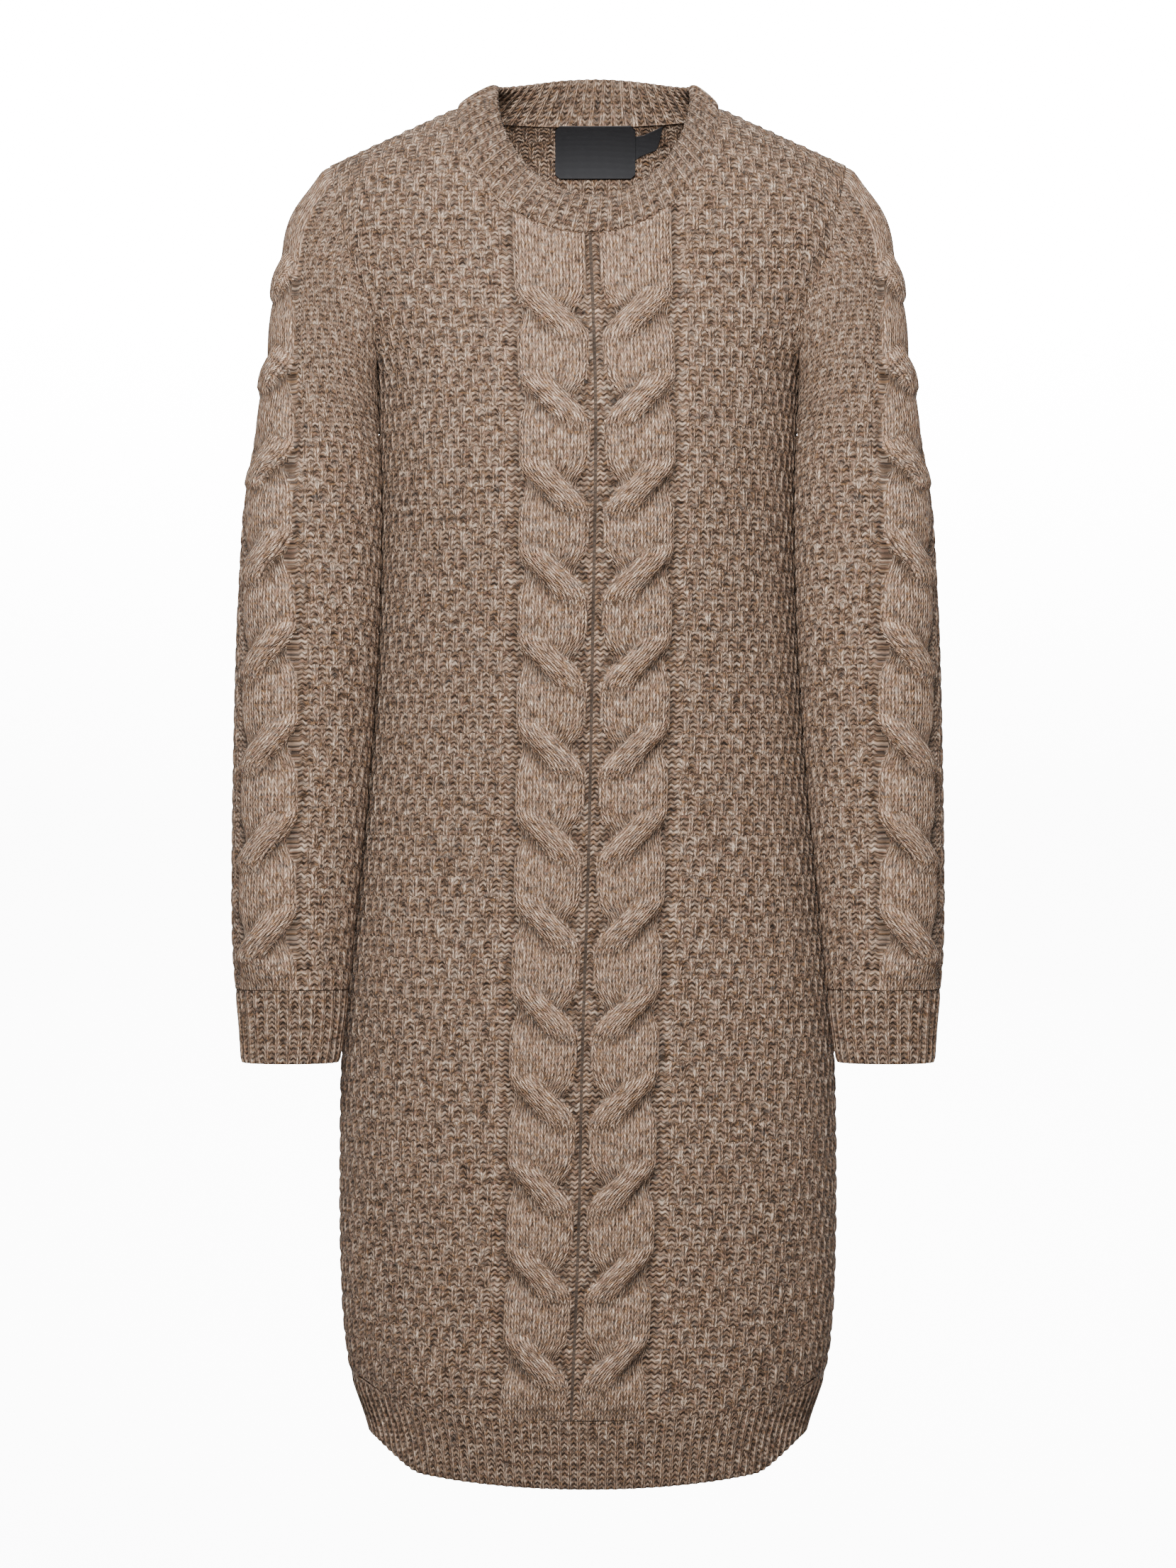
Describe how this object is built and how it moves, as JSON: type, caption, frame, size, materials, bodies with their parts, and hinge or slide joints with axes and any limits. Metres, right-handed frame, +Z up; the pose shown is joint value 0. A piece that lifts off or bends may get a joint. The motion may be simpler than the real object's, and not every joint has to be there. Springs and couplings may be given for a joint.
{
  "type": "sweater dress",
  "caption": "Long-sleeved crew-neck cable-knit sweater dress in worn shape, hollow, with ribbed collar, cuffs and a curved ribbed hem",
  "frame": {"origin": "at the height where the shoulder seams meet the collar, in the middle of the neck opening, where the wearer's shoulders hold the dress", "axes": "+Z up, along the length of the dress; the front faces -Y; +X is the wearer's left"},
  "size_m": [0.4658, 0.2266, 0.9265],
  "materials": {
    "wool_knit": "soft matt heathered taupe wool knit",
    "wool_rib": "soft matt heathered taupe wool rib",
    "black_label": "matt woven black ribbon"
  },
  "bodies": {
    "root": {"front": "wool_knit", "back": "wool_knit", "sleeve_left": "wool_knit", "sleeve_right": "wool_knit", "neck_collar": "wool_rib", "cuff_left": "wool_rib", "cuff_right": "wool_rib", "hem_rib_front": "wool_rib", "hem_rib_back": "wool_rib", "neck_label": "black_label", "size_tab": "black_label"}
  },
  "joints": []
}
